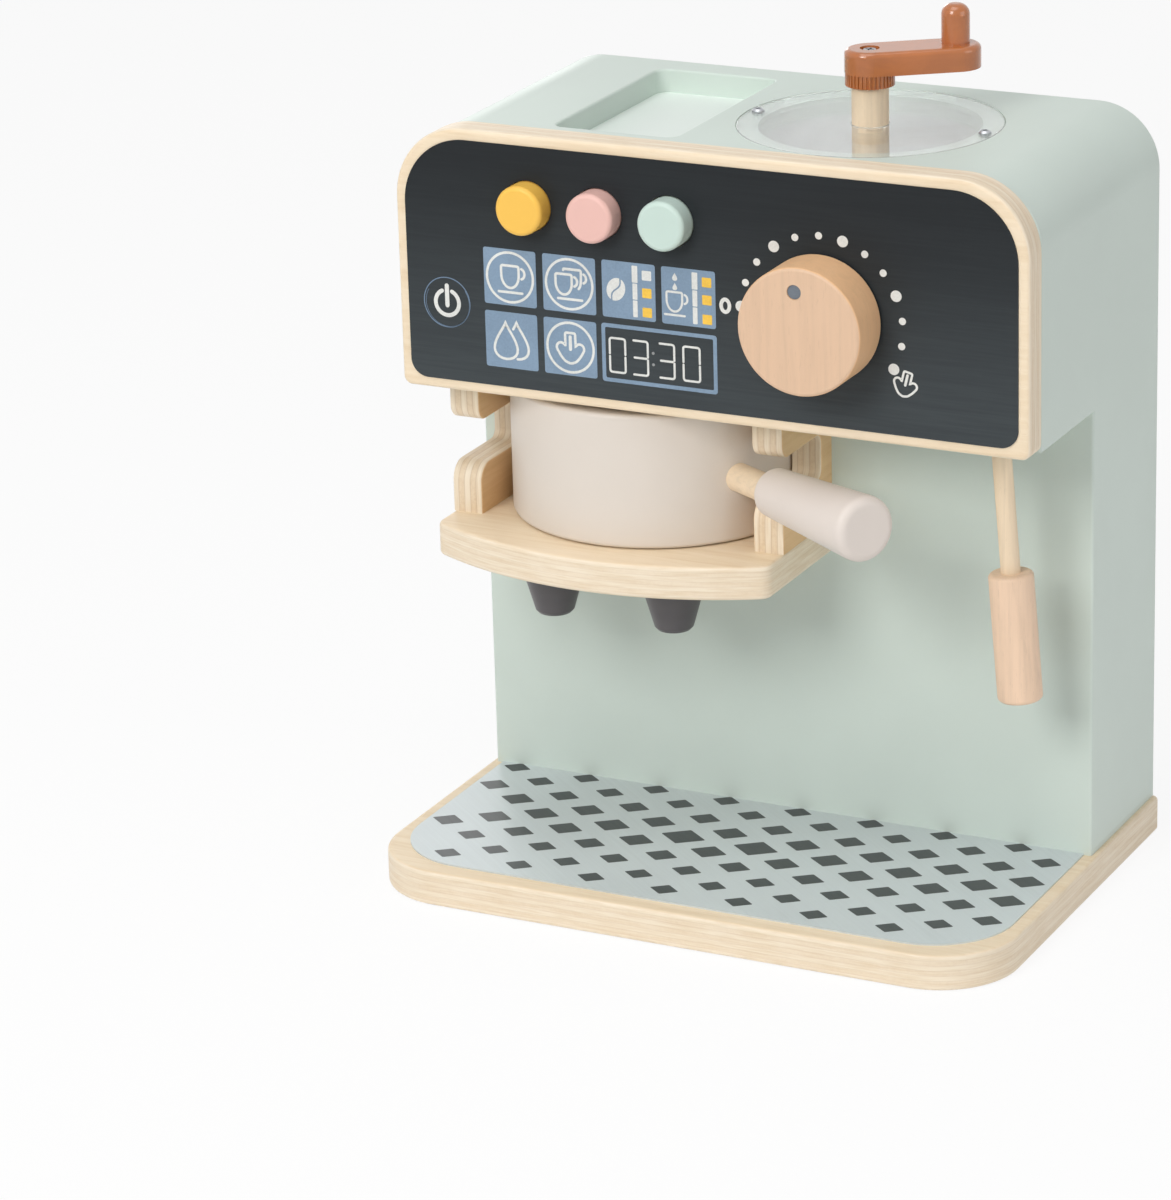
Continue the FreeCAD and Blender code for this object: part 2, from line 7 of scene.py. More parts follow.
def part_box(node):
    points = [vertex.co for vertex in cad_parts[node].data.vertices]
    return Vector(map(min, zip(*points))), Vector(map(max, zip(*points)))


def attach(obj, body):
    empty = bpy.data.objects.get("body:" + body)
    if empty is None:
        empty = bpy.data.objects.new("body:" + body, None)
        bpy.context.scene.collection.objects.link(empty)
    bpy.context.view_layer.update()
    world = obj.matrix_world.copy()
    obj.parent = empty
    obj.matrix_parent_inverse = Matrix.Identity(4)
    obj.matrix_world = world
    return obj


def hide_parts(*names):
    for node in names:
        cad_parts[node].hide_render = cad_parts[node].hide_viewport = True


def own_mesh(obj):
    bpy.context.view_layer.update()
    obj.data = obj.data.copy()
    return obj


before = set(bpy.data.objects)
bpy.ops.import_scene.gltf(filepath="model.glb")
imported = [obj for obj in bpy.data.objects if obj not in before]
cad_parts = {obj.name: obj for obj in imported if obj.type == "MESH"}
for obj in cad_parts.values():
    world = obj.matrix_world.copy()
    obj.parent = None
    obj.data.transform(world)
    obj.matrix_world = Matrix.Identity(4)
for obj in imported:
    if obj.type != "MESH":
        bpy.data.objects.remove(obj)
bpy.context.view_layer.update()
print("frame loaded:", len(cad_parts), "nodes")


def tint(red, green, blue):
    # a screen colour, 0 to 255, as the linear colour that a shader takes
    def linear(part):
        part = part / 255
        return part / 12.92 if part <= 0.04045 else ((part + 0.055) / 1.055) ** 2.4
    return (linear(red), linear(green), linear(blue), 1.0)


class Value:
    # one output of a node; sums with it add Math nodes to the same tree
    def __init__(self, maker, made, output):
        self.maker = maker
        self.made = made
        self.socket = made.outputs[output]

    def other(self, output):
        return Value(self.maker, self.made, output)

    def math(self, operation, *others):
        return self.maker.node("ShaderNodeMath", {"operation": operation}, dict(enumerate((self,) + others)))

    def reflected(self, operation, first):
        return self.maker.node("ShaderNodeMath", {"operation": operation}, {0: first, 1: self})

    def __add__(self, other):
        return self.math("ADD", other)

    def __radd__(self, other):
        return self.reflected("ADD", other)

    def __mul__(self, other):
        return self.math("MULTIPLY", other)

    def __rmul__(self, other):
        return self.reflected("MULTIPLY", other)

    def __sub__(self, other):
        return self.math("SUBTRACT", other)

    def __rsub__(self, other):
        return self.reflected("SUBTRACT", other)

    def __truediv__(self, other):
        return self.math("DIVIDE", other)

    def __rtruediv__(self, other):
        return self.reflected("DIVIDE", other)

    def __mod__(self, other):
        return self.math("FLOORED_MODULO", other)

    def __rmod__(self, other):
        return self.reflected("FLOORED_MODULO", other)

    def __gt__(self, other):
        return self.math("GREATER_THAN", other)

    def __lt__(self, other):          # also what a number > value calls
        return self.math("LESS_THAN", other)

    def __abs__(self):
        return self.math("ABSOLUTE")


class NodeMaker:
    # the node tree of a material or a world, and one method that adds any node to it
    def __init__(self, owner):
        owner.use_nodes = True
        self.tree = owner.node_tree
        self.tree.nodes.clear()

    def node(self, kind, settings=None, values=None, output=0):
        made = self.tree.nodes.new(kind)
        for key, value in (settings or {}).items():
            if key == "stops":
                stops = made.color_ramp.elements
                while len(stops) < len(value):
                    stops.new(0.5)
                for stop, (position, colour) in zip(stops, value):
                    stop.position = position
                    stop.color = colour
            else:
                setattr(made, key, value)
        for key, value in (values or {}).items():
            self.feed(made.inputs[key], value)
        return Value(self, made, output)

    def feed(self, socket, value):
        if isinstance(value, Value):
            self.tree.links.new(value.socket, socket)
        else:
            socket.default_value = value

    def show(self, kind, surface):
        # the output node, which has no output socket of its own
        self.feed(self.tree.nodes.new(kind).inputs[0], surface)

    def seenDirectly(self):
        # 1 for rays that the camera sees, also in mirrors and through clear plastic, and 0 for all others
        paths = self.node("ShaderNodeLightPath", output="Is Camera Ray")
        seen = paths.math("MAXIMUM", paths.other("Is Glossy Ray"))
        return seen.math("MAXIMUM", paths.other("Is Transmission Ray"))


class Finish(NodeMaker):
    # a material around one Principled shader
    def __init__(self, name, plain, shown=True):
        self.material = bpy.data.materials.new(name)
        super().__init__(self.material)
        self.shader = self.tree.nodes.new("ShaderNodeBsdfPrincipled")
        if shown:
            self.show("ShaderNodeOutputMaterial", self.surface())
        for socketName, value in plain.items():
            self.shader.inputs[socketName].default_value = value

    def surface(self):
        return Value(self, self.shader, 0)

    def paint(self, socketName, value):
        self.feed(self.shader.inputs[socketName], value)

    def place(self):
        return self.node("ShaderNodeTexCoord", output="Object")

    def facing(self):
        return self.node("ShaderNodeTexCoord", output="Normal")

    def parts(self, vector):
        first = self.node("ShaderNodeSeparateXYZ", values={0: vector})
        return [first, first.other(1), first.other(2)]

    def stretched(self, vector, factors):
        return self.node("ShaderNodeVectorMath", {"operation": "MULTIPLY"}, {0: vector, 1: factors})

    def noise(self, vector, scale, detail=2.0, roughness=0.5, distortion=0.0):
        values = {"Vector": vector, "Scale": scale, "Detail": detail}
        values.update({"Roughness": roughness, "Distortion": distortion})
        return self.node("ShaderNodeTexNoise", values=values)

    def between(self, value, low, high):
        return self.node("ShaderNodeMapRange", {"interpolation_type": "SMOOTHSTEP"},
                         {"Value": value, "From Min": low, "From Max": high})

    def mixed(self, factor, first, second, blend="MIX"):
        return self.node("ShaderNodeMix", {"data_type": "RGBA", "blend_type": blend},
                         {0: factor, 6: first, 7: second}, output=2)

    def ramp(self, value, stops):
        return self.node("ShaderNodeValToRGB", {"stops": stops}, {0: value})

    def raised(self, height, distance, strength=1.0):
        values = {"Height": height, "Distance": distance, "Strength": strength}
        return self.node("ShaderNodeBump", values=values)


white = (1, 1, 1, 1)


def shaded(colour, factor):
    return tuple(part * factor for part in colour[:3]) + (1.0,)


def paintedWood(name, colour, roughness=0.42):
    # sprayed satin paint: fine orange peel, and a trace of the wood under it
    finish = Finish(name, {"IOR": 1.46, "Specular IOR Level": 0.4})
    place = finish.place()
    broad = finish.noise(place, 16, 3)
    peel = finish.noise(place, 1100, 2)
    grain = finish.noise(finish.stretched(place, (14, 160, 30)), 6, 3)
    finish.paint("Base Color", finish.mixed(finish.between(broad, 0.3, 0.7), shaded(colour, 0.955), colour))
    finish.paint("Roughness", roughness + (broad - 0.5) * 0.14 + (peel - 0.5) * 0.06)
    finish.paint("Normal", finish.raised(peel + grain * 0.5, 0.000016, 0.8))
    return finish.material


def plywood(name, across, low, high, grain, layers, strength, paintedFaceShade=white):
    # birch plywood: long grain on its faces, and stacked veneers on its edges
    finish = Finish(name, {"IOR": 1.45, "Specular IOR Level": 0.35})
    place = finish.place()
    axes = finish.parts(place)
    flat = finish.between(abs(finish.parts(finish.facing())[across]), 0.6, 0.85)
    alongGrain = tuple(7 if axis == grain else 90 for axis in range(3))
    figure = finish.noise(finish.stretched(place, alongGrain), 3.2, 5, 0.62, 0.6)
    fibre = finish.noise(finish.stretched(place, tuple(part * 7 for part in alongGrain)), 5, 3, 0.6)
    face = finish.ramp(figure, [(0.28, tint(230, 207, 174)), (0.45, tint(237, 217, 187)),
                                (0.62, tint(242, 224, 197)), (0.8, tint(235, 213, 181))])
    face = finish.mixed(finish.between(fibre, 0.58, 0.75) * 0.2, face, tint(210, 178, 136))
    wobble = finish.noise(finish.stretched(place, (40, 40, 40)), 1, 2)
    level = (axes[across] - low) / (high - low) * layers + (wobble - 0.5) * 0.3
    step = level % 1.0
    cross = (level % 2.0) > 1.0
    inPlane = tuple(900 if axis == across else 55 for axis in range(3))
    streak = finish.noise(finish.stretched(place, inPlane), 1.4, 3, 0.6)
    ends = finish.noise(finish.stretched(place, (700, 700, 700)), 1, 3, 0.7)
    longVeneer = finish.ramp(streak, [(0.3, tint(232, 213, 185)), (0.6, tint(243, 229, 207))])
    endVeneer = finish.ramp(ends, [(0.32, tint(208, 177, 137)), (0.6, tint(227, 203, 168))])
    edge = finish.mixed(cross * strength, longVeneer, endVeneer)
    seam = finish.between(abs(step - 0.5), 0.0, 0.5)
    edge = finish.mixed(finish.between(seam, 0.86, 0.98) * (strength * 0.5), edge, tint(168, 130, 90))
    # painted shade where one is given: the face colour multiplied by a darker tone (white leaves it as it is)
    face = finish.mixed(1.0, face, paintedFaceShade, "MULTIPLY")
    colour = finish.mixed(flat, edge, face)
    finish.paint("Base Color", colour)
    finish.paint("Roughness", 0.46 + (fibre - 0.5) * 0.2)
    finish.paint("Normal", finish.raised(figure * 0.4 + fibre + ends * (1 - flat), 0.00003, 0.7))
    return finish.material


def turnedWood(name, colour, grain, depth=0.13, flecks=0.16, rim=None):
    # sanded beech or birch: straight fine grain and short dark flecks, and, when a rim tone is given, painted
    # light on the turned rim: the sides that do not face the front are tinted lighter and warmer
    finish = Finish(name, {"IOR": 1.45, "Specular IOR Level": 0.35})
    place = finish.place()
    alongGrain = tuple(9 if axis == grain else 160 for axis in range(3))
    alongFleck = tuple(260 if axis == grain else 1900 for axis in range(3))
    figure = finish.noise(finish.stretched(place, alongGrain), 2.4, 5, 0.6, 0.5)
    dashes = finish.noise(finish.stretched(place, alongFleck), 1, 2)
    fleck = finish.between(dashes, 0.62, 0.72) * flecks
    base = finish.ramp(figure, [(0.25, shaded(colour, 0.98 - depth)),
                                (0.48, shaded(colour, 1.0 - depth * 0.3)),
                                (0.68, shaded(colour, 1.0 + depth * 0.2)),
                                (0.85, shaded(colour, 1.0 - depth * 0.4))])
    if rim:
        # painted light: sides facing away from the front take the rim tint, lighter and warmer
        front = finish.between(abs(finish.parts(finish.facing())[1]), 0.45, 0.8)
        base = finish.mixed(1.0, base, finish.mixed(front, rim, white), "MULTIPLY")
    finish.paint("Base Color", finish.mixed(fleck, base, shaded(colour, 0.55)))
    finish.paint("Roughness", 0.44 + (figure - 0.5) * 0.2 + fleck * 0.2)
    finish.paint("Normal", finish.raised(figure * 0.6 - fleck, 0.00004, 0.6))
    return finish.material


def darkFilm(name):
    # the printed panel film: a dark slate that is paler towards the bottom, finely brushed from side to side
    finish = Finish(name, {"IOR": 1.5, "Specular IOR Level": 0.22})
    place = finish.place()
    height = finish.between(finish.parts(place)[2], 0.170, 0.250)
    brushed = finish.noise(finish.stretched(place, (26, 26, 900)), 1.2, 4, 0.65)
    broad = finish.noise(finish.stretched(place, (3, 3, 30)), 4, 3)
    colour = finish.mixed(height, tint(60, 66, 69), tint(31, 35, 38))
    streaks = finish.mixed(finish.between(brushed * 0.6 + broad * 0.4, 0.36, 0.66),
                           (0.88, 0.88, 0.89, 1), (1.1, 1.1, 1.09, 1))
    finish.paint("Base Color", finish.mixed(1.0, colour, streaks, "MULTIPLY"))
    finish.paint("Roughness", 0.46 + (brushed - 0.5) * 0.22)
    finish.paint("Normal", finish.raised(brushed, 0.000012, 0.6))
    return finish.material


def silverFilm(name, colour, metal, roughness):
    # the printed drip sheet: a satin silver with fine slanting brush lines
    finish = Finish(name, {"IOR": 1.5, "Specular IOR Level": 0.5})
    place = finish.place()
    slanting = finish.node("ShaderNodeVectorRotate", {"rotation_type": "Z_AXIS"},
                           {"Vector": place, "Angle": 0.7})
    brushed = finish.noise(finish.stretched(slanting, (14, 700, 14)), 1.3, 4, 0.65)
    broad = finish.noise(place, 11, 2)
    tone = finish.between(brushed * 0.35 + broad * 0.65, 0.35, 0.65)
    finish.paint("Base Color", finish.mixed(tone, shaded(colour, 0.93), shaded(colour, 1.04)))
    finish.paint("Metallic", metal + (broad - 0.5) * 0.1)
    finish.paint("Roughness", roughness + (brushed - 0.5) * 0.2)
    finish.paint("Normal", finish.raised(brushed, 0.00001, 0.6))
    return finish.material


def printInk(name, colour):
    # screen-printed ink: nearly even, with a faint grain and a soft satin surface
    finish = Finish(name, {"IOR": 1.48, "Specular IOR Level": 0.35})
    place = finish.place()
    grain = finish.noise(place, 1600, 3, 0.6)
    patch = finish.noise(place, 90, 2)
    tone = finish.between(grain * 0.6 + patch * 0.4, 0.35, 0.65)
    finish.paint("Base Color", finish.mixed(tone, shaded(colour, 0.9), shaded(colour, 1.03)))
    finish.paint("Roughness", 0.45 + (grain - 0.5) * 0.2)
    finish.paint("Normal", finish.raised(grain, 0.00001, 0.5))
    return finish.material


def mouldedPlastic(name, colour, roughness, texture, coat=0.0):
    # injection-moulded plastic with slow flow marks and a fine skin
    finish = Finish(name, {"IOR": 1.5, "Coat Weight": coat, "Coat Roughness": 0.12})
    place = finish.place()
    flow = finish.noise(finish.stretched(place, (40, 40, 90)), 1, 3, 0.5, 1.2)
    skin = finish.noise(place, 2200, 2)
    tone = finish.between(flow, 0.3, 0.7)
    finish.paint("Base Color", finish.mixed(tone, shaded(colour, 0.9), shaded(colour, 1.05)))
    finish.paint("Roughness", roughness + (flow - 0.5) * 0.12 + (skin - 0.5) * 0.06)
    finish.paint("Normal", finish.raised(skin * texture + flow * 0.4, 0.00002, 0.8))
    return finish.material


def clearDisc(name):
    # clear acrylic with a few faint smears
    finish = Finish(name, {"IOR": 1.49, "Transmission Weight": 1.0, "Alpha": 0.72})
    place = finish.place()
    smear = finish.noise(finish.stretched(place, (20, 55, 20)), 1.5, 4, 0.6, 0.8)
    tone = finish.between(smear, 0.3, 0.7)
    finish.paint("Base Color", finish.mixed(tone, (0.97, 0.985, 0.985, 1), (0.995, 1, 1, 1)))
    finish.paint("Roughness", 0.015 + finish.between(smear, 0.5, 0.8) * 0.05)
    return finish.material


def zincSteel(name):
    # bright zinc on small screws, washers and springs
    finish = Finish(name, {"Specular IOR Level": 0.5})
    place = finish.place()
    turning = finish.noise(finish.stretched(place, (900, 900, 260)), 1, 3, 0.6)
    patch = finish.noise(place, 300, 3)
    finish.paint("Base Color", finish.mixed(patch, tint(150, 152, 156), tint(205, 207, 210)))
    finish.paint("Metallic", 0.92 + (patch - 0.5) * 0.1)
    finish.paint("Roughness", 0.3 + (turning - 0.5) * 0.25)
    finish.paint("Normal", finish.raised(turning, 0.00002, 0.5))
    return finish.material


def bareBoard(name):
    # pressed fibre board on the inside, unpainted
    finish = Finish(name, {"Specular IOR Level": 0.2})
    place = finish.place()
    fibres = finish.noise(finish.stretched(place, (500, 300, 500)), 1.5, 5, 0.7)
    cloud = finish.noise(place, 40, 3)
    tone = fibres * 0.7 + cloud * 0.3
    finish.paint("Base Color", finish.mixed(tone, tint(150, 118, 82), tint(204, 172, 130)))
    finish.paint("Roughness", 0.75 + (fibres - 0.5) * 0.2)
    finish.paint("Normal", finish.raised(fibres, 0.00006, 0.8))
    return finish.material


colours = {
    "mint": tint(211, 223, 215),
    "yellow": tint(247, 196, 88),
    "pink": tint(235, 190, 180),
    "paleMint": tint(201, 221, 212),
    "sand": tint(224, 215, 205),
    "beech": tint(224, 190, 160),
    "birch": tint(243, 221, 191),
    "wandWood": tint(240, 209, 181),
    "caramel": tint(184, 108, 55),
    "spout": tint(84, 81, 83),
    "shell": tint(226, 229, 229),
    "iconBlue": tint(131, 154, 177),
    "iconWhite": tint(226, 227, 223),
    "iconYellow": tint(246, 200, 80),
    "ringBlue": tint(112, 134, 158),
    "pointerGrey": tint(112, 120, 130),
    "colonGrey": tint(150, 152, 152),
    "grip": tint(227, 217, 209),
    # painted light: a paler mint for the cup rest's floor, to brighten the recess
    "mintFloorPaintedLight": tint(236, 245, 239),
    "diamond": tint(60, 65, 66),
    "silver": tint(208, 216, 218),
}

mint = paintedWood("mintPaint", colours["mint"])
zinc = zincSteel("zincSteel")
bare = bareBoard("bareBoard")
boards = ("base_board", "front_panel", "shelf", "bracket_left", "bracket_right")
boardBox = {name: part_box(name) for name in boards}
bracketPaintedShade = (0.95, 0.78, 0.58, 1)       # painted shade: the brackets' faces are darkened and made more golden, for the shade of the head
# painted light on the knob's sides: a lighter, warmer tint
knobSidePaintedLight = (1.18, 1.06, 0.86, 1)


def boardPlywood(name, node, across, grain, layers, strength, paintedFaceShade=white):
    low, high = boardBox[node]
    return plywood(name, across, low[across], high[across], grain, layers, strength, paintedFaceShade)


finishes = {
    "base_board": boardPlywood("basePlywood", "base_board", 2, 0, 7, 0.2),
    "drip_sheet": silverFilm("dripSheetPrint", colours["silver"], 0.25, 0.43),
    "front_panel": boardPlywood("panelPlywood", "front_panel", 1, 0, 5, 0.26),
    "panel_face": darkFilm("panelPrint"),
    "shelf": boardPlywood("shelfPlywood", "shelf", 2, 0, 7, 0.17),
    "bracket_left": boardPlywood("bracketPlywoodLeft", "bracket_left", 0, 1, 5, 0.45, bracketPaintedShade),
    "bracket_right": boardPlywood("bracketPlywoodRight", "bracket_right", 0, 1, 5, 0.45, bracketPaintedShade),
    "button_left": paintedWood("yellowPaint", colours["yellow"], 0.4),
    "button_middle": paintedWood("pinkPaint", colours["pink"], 0.4),
    "button_right": paintedWood("paleMintPaint", colours["paleMint"], 0.4),
    "dial_knob": turnedWood("knobBeech", colours["beech"], 2, 0.07, 0.12, knobSidePaintedLight),
    "dial_spindle": turnedWood("spindleBirch", colours["birch"], 1),
    "hopper_cup": mouldedPlastic("hopperShell", colours["shell"], 0.4, 0.3),
    "hopper_window": clearDisc("clearAcrylic"),
    "crank_shaft": turnedWood("crankDowel", colours["birch"], 2),
    "crank_arm": mouldedPlastic("crankPlastic", colours["caramel"], 0.2, 0.2, 0.5),
    "spout_left": mouldedPlastic("spoutPlastic", colours["spout"], 0.42, 1.0),
    "filter_drum": paintedWood("sandPaint", colours["sand"], 0.45),
    "filter_grip": paintedWood("gripPaint", colours["grip"], 0.4),
    "filter_handle": turnedWood("handleBirch", colours["birch"], 0),
    "wand_rod": turnedWood("wandDowel", colours["birch"], 2),
    "wand_grip": turnedWood("wandBeech", colours["wandWood"], 2),
    # painted light: the cup rest's floor is paler than the mint around it, to brighten the recess
    "cup_rest_floor": paintedWood("mintPaintFloorPaintedLight", colours["mintFloorPaintedLight"]),
    "spring_rail": bare,
    "wand_block": bare,
}
finishes["crank_peg"] = finishes["crank_arm"]
finishes["spout_right"] = finishes["spout_left"]
mintBoards = ("side_left", "side_right", "shoulder_left", "shoulder_right", "top_board", "back_board",
              "column_front", "head_floor")
finishes.update({name: mint for name in mintBoards})
for name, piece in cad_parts.items():
    material = finishes.get(name, zinc)
    piece.data.materials.clear()
    piece.data.materials.append(material)
print("finishes put on the nodes")


def arcPoints(centreX, centreY, radiusX, radiusY, start, end, steps=24):
    points = []
    for i in range(steps + 1):
        turn = math.radians(start + (end - start) * i / steps)
        points.append((centreX + radiusX * math.cos(turn), centreY + radiusY * math.sin(turn)))
    return points


def ringPoints(centreX, centreY, radius, steps=48):
    return arcPoints(centreX, centreY, radius, radius, 0, 360 - 360 / steps, steps - 1)


def moved(points, dx, dy, size=1.0):
    return [(x * size + dx, y * size + dy) for x, y in points]


def turnedBy(points, degrees):
    cosine, sine = math.cos(math.radians(degrees)), math.sin(math.radians(degrees))
    return [(x * cosine - y * sine, x * sine + y * cosine) for x, y in points]


def softened(points, radius, closed=False, steps=5):
    # the same run of points with its corners rounded off
    out = []
    count = len(points)
    for i, (x, y) in enumerate(points):
        if not closed and i in (0, count - 1):
            out.append((x, y))
            continue
        here = Vector((x, y))
        back = Vector(points[i - 1]) - here
        ahead = Vector(points[(i + 1) % count]) - here
        reach = min(radius, back.length * 0.48, ahead.length * 0.48)
        first = here + back.normalized() * reach
        last = here + ahead.normalized() * reach
        for k in range(steps + 1):
            t = k / steps
            spot = first * (1 - t) ** 2 + here * 2 * t * (1 - t) + last * t ** 2
            out.append((spot.x, spot.y))
    return out


nearlyMeet = 0.14                         # millimetres


def spaced(points, closed):
    # the same run without points that nearly meet, which would fold a line's edges
    kept = [points[0]]
    for point in points[1:]:
        if math.dist(point, kept[-1]) > nearlyMeet:
            kept.append(point)
    if closed and math.dist(kept[0], kept[-1]) <= nearlyMeet:
        kept.pop()
    elif not closed:
        kept[-1] = points[-1]
    return kept


def band(points, width, closed=False):
    # the outlines of a line of that width along the points, with round ends
    points = spaced(points, closed)
    half = width / 2
    count = len(points)
    left, right = [], []
    for i in range(count):
        here = Vector(points[i])
        runs = []
        if closed or i > 0:
            runs.append((here - Vector(points[i - 1])).normalized())
        if closed or i < count - 1:
            runs.append((Vector(points[(i + 1) % count]) - here).normalized())
        sides = [Vector((-run.y, run.x)) for run in runs]
        middle = sum(sides, Vector((0, 0))).normalized()
        reach = half / max(0.5, middle.dot(sides[0]))
        left.append(tuple(here + middle * reach))
        right.append(tuple(here - middle * reach))
    if closed:
        return [left, right[::-1]]

    def cap(at, before):
        run = (Vector(at) - Vector(before)).normalized()
        start = math.degrees(math.atan2(run.x, -run.y))
        return arcPoints(at[0], at[1], half, half, start, start - 180, 6)[1:-1]

    return [left + cap(points[-1], points[-2]) + right[::-1] + cap(points[0], points[1])]


def meshOf(curve):
    # the curve as a mesh, with nothing left of the curve itself
    drawn = bpy.data.objects.new(curve.name, curve)
    mesh = bpy.data.meshes.new_from_object(drawn)
    bpy.data.objects.remove(drawn)
    bpy.data.curves.remove(curve)
    return mesh


perMetre = 1000                           # the printed art is in millimetres
panelTurn = Matrix.Rotation(math.radians(90), 4, "X")
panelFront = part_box("panel_face")[0].y
printSink = 0.02                          # how far a print reaches into its surface
printRise = {"square": 0.05, "mark": 0.09, "sign": 0.06, "ring": 0.05, "pointer": 0.15, "diamond": 0.04}


def printPiece(name, outlineGroups, material, body, turn, surface, rise):
    # thin printed shapes in millimetres, laid on a surface and gathered into one piece
    bm = bmesh.new()
    for outlines in outlineGroups:
        curve = bpy.data.curves.new(name + "Outline", "CURVE")
        curve.dimensions = "2D"
        curve.fill_mode = "BOTH"
        curve.extrude = (rise + printSink) / 2
        for outline in outlines:
            spline = curve.splines.new("POLY")
            spline.points.add(len(outline) - 1)
            for point, (x, y) in zip(spline.points, outline):
                point.co = (x, y, 0, 1)
            spline.use_cyclic_u = True
        filled = meshOf(curve)
        bm.from_mesh(filled)
        bpy.data.meshes.remove(filled)
    lift = Matrix.Translation((0, 0, (rise - printSink) / 2))
    bm.transform(surface @ turn @ Matrix.Scale(1 / perMetre, 4) @ lift)
    bmesh.ops.remove_doubles(bm, verts=bm.verts, dist=1e-8)
    bmesh.ops.recalc_face_normals(bm, faces=bm.faces)
    mesh = bpy.data.meshes.new(name)
    bm.to_mesh(mesh)
    bm.free()
    mesh.materials.append(material)
    piece = bpy.data.objects.new(name, mesh)
    bpy.context.scene.collection.objects.link(piece)
    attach(piece, body)
    return piece


def panelPrint(name, outlineGroups, material, rise):
    surface = Matrix.Translation((0, panelFront, 0))
    return printPiece(name, outlineGroups, material, "housing", panelTurn, surface, rise)


iconArt = {
    "centres": {"cup": (-69.0, 206.4), "twoCups": (-47.7, 206.4), "bean": (-26.55, 206.5),
                "drip": (-5.5, 206.5), "water": (-69.1, 185.2), "steam": (-47.9, 185.2)},
    "half": 9.42,
    "corner": 0.9,
    "line": 0.85,
    "ring": 8.3,
    "wisp": 1.1,
    "thin": 0.85,                         # the drip icon's lines against the others
    "front": (-2.1, -0.1, 1.13),          # the two drops: place and size
    "back": (1.9, 0.2, 1.13),
    "clearOfFront": 1.23,                 # the back drop's line stops short of the front one
    "columns": ((2.9, 8.5, 1.0), (-2.7, 2.6, 0.85), (-8.5, -3.0, 0.8)),
    "columnAt": 2.25,
    "columnCorner": 0.25,
    "levels": (5.6, -0.2, -6.6),
    "levelSpan": (4.8, 8.1),
    "levelHalf": 1.6,
    "levelCorner": 0.35,
    "beanAt": -4.5,
    "saucer": (-4.2, 4.3, -5.0),          # from, to and height under a cup
    "twoCupSaucer": (-4.1, 4.5, -5.0),
    "dripSaucer": (-8.4, -1.4, -6.3),
    "dripAt": -4.7,
    "drips": ((6.4, 0.24), (3.2, 0.22)),
}

clockArt = {
    "frame": (-36.6, 4.1, 175.4, 194.9),
    "border": 1.3,
    "frameCorner": 1.1,
    "windowCorner": 0.6,
    "line": 0.72,
    "low": 178.8,
    "high": 190.15,
    "gap": 0.45,
    "bend": 0.9,
    "barIn": (0.3, 0.6),
    "digits": (("0", -33.8, -28.3), ("3", -25.3, -20.3), ("3", -16.0, -10.95), ("0", -7.75, -2.0)),
    "colon": ((-18.4, 186.6), (-18.4, 182.8)),
    "colonRadius": 0.5,
}


def rectangle(left, right, low, high, corner, steps=5):
    return softened([(left, low), (right, low), (right, high), (left, high)], corner, True, steps)


def cupLines():
    # a cup seen from the side: body and ear
    body = [(-3.2, 3.8), (3.1, 3.8)] + arcPoints(-0.05, 0.7, 3.15, 4.3, 0, -180, 20)
    ear = arcPoints(3.7, 1.4, 1.5, 1.75, 74, -76, 12)
    return softened(body, 0.7, True, 3), ear


def dropOutline():
    # a water drop with its tip at the top
    steps = 28
    points = []
    for i in range(steps):
        turn = 2 * math.pi * i / steps
        pinch = math.sin(turn / 2) ** 1.6
        height = 5.1 * math.cos(turn) + 0.2 - 0.35 * (1 - math.cos(turn))
        points.append((-5.35 * math.sin(turn) * pinch, height))
    return points


def insideOutline(point, outline):
    x, y = point
    inside = False
    for i, (x1, y1) in enumerate(outline):
        x0, y0 = outline[i - 1]
        if (y0 > y) != (y1 > y) and x < (x1 - x0) * (y - y0) / (y1 - y0) + x0:
            inside = not inside
    return inside


def steamLines(size=1.0):
    # a puff of steam: a cloud with two shoulders under a jet
    shoulder = arcPoints(-3.35, -0.15, 1.6, 1.6, 30, 215, 7)
    left = [(-1.8, 4.9), (-1.8, 0.6)] + shoulder + [(-3.5, -3.0), (-2.0, -4.7)]
    cloud = left + [(0, -5.4)] + [(-x, y) for x, y in left[::-1]]
    wisp = [(0, 3.6), (0, -0.6)]
    return moved(softened(cloud, 0.6, True, 3), 0, 0, size), moved(wisp, 0, 0, size)


beanLevels = (-3.5, -2.6, -1.7, -0.8, 0, 0.8, 1.7, 2.6, 3.5)


def beanHalves():
    # a coffee bean in two halves with a curved gap between them
    halves = []
    for side in (-1, 1):
        first, last = (96, 264) if side < 0 else (84, -84)
        rim = arcPoints(0, 0, 3.2, 3.9, first, last, 22)
        gap = [(side * 0.28 + 0.7 * math.sin(math.pi * level / 3.7), level) for level in beanLevels]
        halves.append(turnedBy(rim + gap, -24))
    return halves


def digitLines(digit, left, right, low, high):
    # a clock digit of thin lines, broken at its middle
    middle = (low + high) / 2
    gap, bend = clockArt["gap"], clockArt["bend"]
    upper = softened([(left, middle + gap), (left, high), (right, high), (right, middle + gap)], bend)
    lower = softened([(left, middle - gap), (left, low), (right, low), (right, middle - gap)], bend)
    if digit == "0":
        return [upper, lower]
    hookUp = softened([(left, high), (right, high), (right, middle + gap)], bend)
    hookDown = softened([(left, low), (right, low), (right, middle - gap)], bend)
    barLeft, barRight = clockArt["barIn"]
    return [hookUp, hookDown, [(left + barLeft, middle), (right - barRight, middle)]]


def saucerMark(x, y, line, span):
    left, right, height = span
    return band([(x + left, y + height), (x + right, y + height)], line)


def cupMarks(x, y, line, size=1.0):
    body, ear = cupLines()
    return [band(moved(body, x, y, size), line, True), band(moved(ear, x, y, size), line)]


